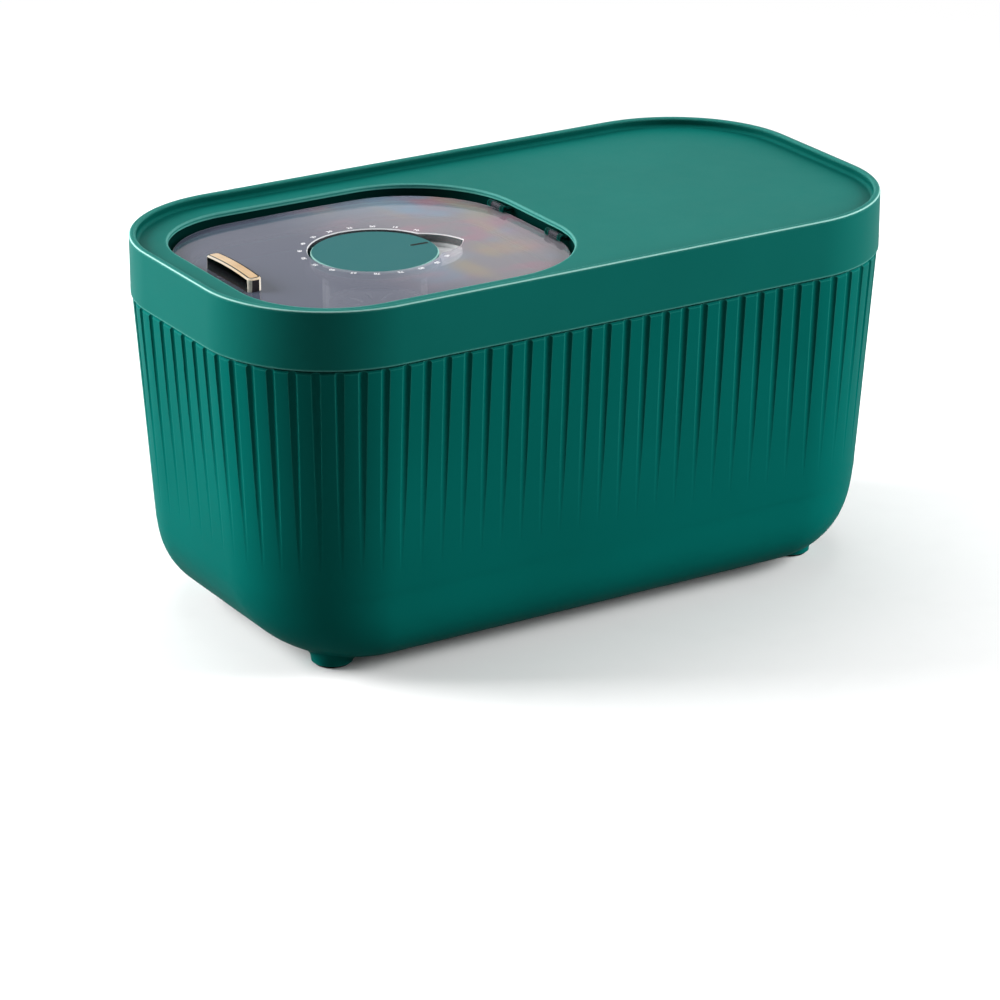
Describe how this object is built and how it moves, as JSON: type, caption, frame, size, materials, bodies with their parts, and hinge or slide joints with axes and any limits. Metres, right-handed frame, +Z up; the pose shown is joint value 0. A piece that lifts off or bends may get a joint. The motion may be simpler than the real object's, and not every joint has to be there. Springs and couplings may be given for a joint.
{
  "type": "rice storage container",
  "caption": "Fluted rounded bin for rice with a lift-off lid, a clear hinged flap with a handle, and a turning dial over a lift-out desiccant cup.",
  "frame": {"origin": "middle of the footprint, on the plane that the foot pads stand on", "axes": "+X along the length, away from the flap; -Y towards the front; +Z up"},
  "size_m": [0.387, 0.205, 0.2],
  "materials": {
    "green_shell": "satin gloss, deep teal green",
    "inner_green": "satin, dark green",
    "clear_panel": "polished, smoky clear",
    "clear_cup": "polished, clear",
    "seal_rubber": "matte, translucent grey",
    "foot_rubber": "matte black",
    "gold_metal": "polished, pale gold",
    "steel": "bright"
  },
  "bodies": {
    "bin": {"tub": "green_shell", "foot_pad_front_left": "foot_rubber", "foot_pad_front_right": "foot_rubber", "foot_pad_rear_left": "foot_rubber", "foot_pad_rear_right": "foot_rubber"},
    "lid": {"lid_shell": "green_shell", "lid_gasket": "seal_rubber", "mouth_frame": "inner_green", "mouth_gasket": "seal_rubber", "frame_screws": "steel", "hinge_pin_front": "steel", "hinge_pin_rear": "steel"},
    "flap": {"flap_panel": "clear_panel", "flap_handle": "gold_metal", "handle_screws": "steel", "cup_seal": "seal_rubber"},
    "cup": {"desiccant_cup": "clear_cup"},
    "dial": {"dial_cap": "green_shell"}
  },
  "joints": [
    {"name": "lid_lift", "type": "slide", "parent": "bin", "child": "lid", "axis": [0, 0, 1], "range_m": [0, 0.12]},
    {"name": "flap_swing", "type": "hinge", "parent": "lid", "child": "flap", "pos_m": [0.0093, 0, 0.1916], "axis": [0, 1, 0], "range_deg": [0, 100]},
    {"name": "cup_lift", "type": "slide", "parent": "flap", "child": "cup", "axis": [0, 0, 1], "range_m": [0, 0.045]},
    {"name": "dial_turn", "type": "hinge", "parent": "cup", "child": "dial", "pos_m": [-0.08025, 0, 0.19], "axis": [0, 0, 1], "continuous": true}
  ]
}
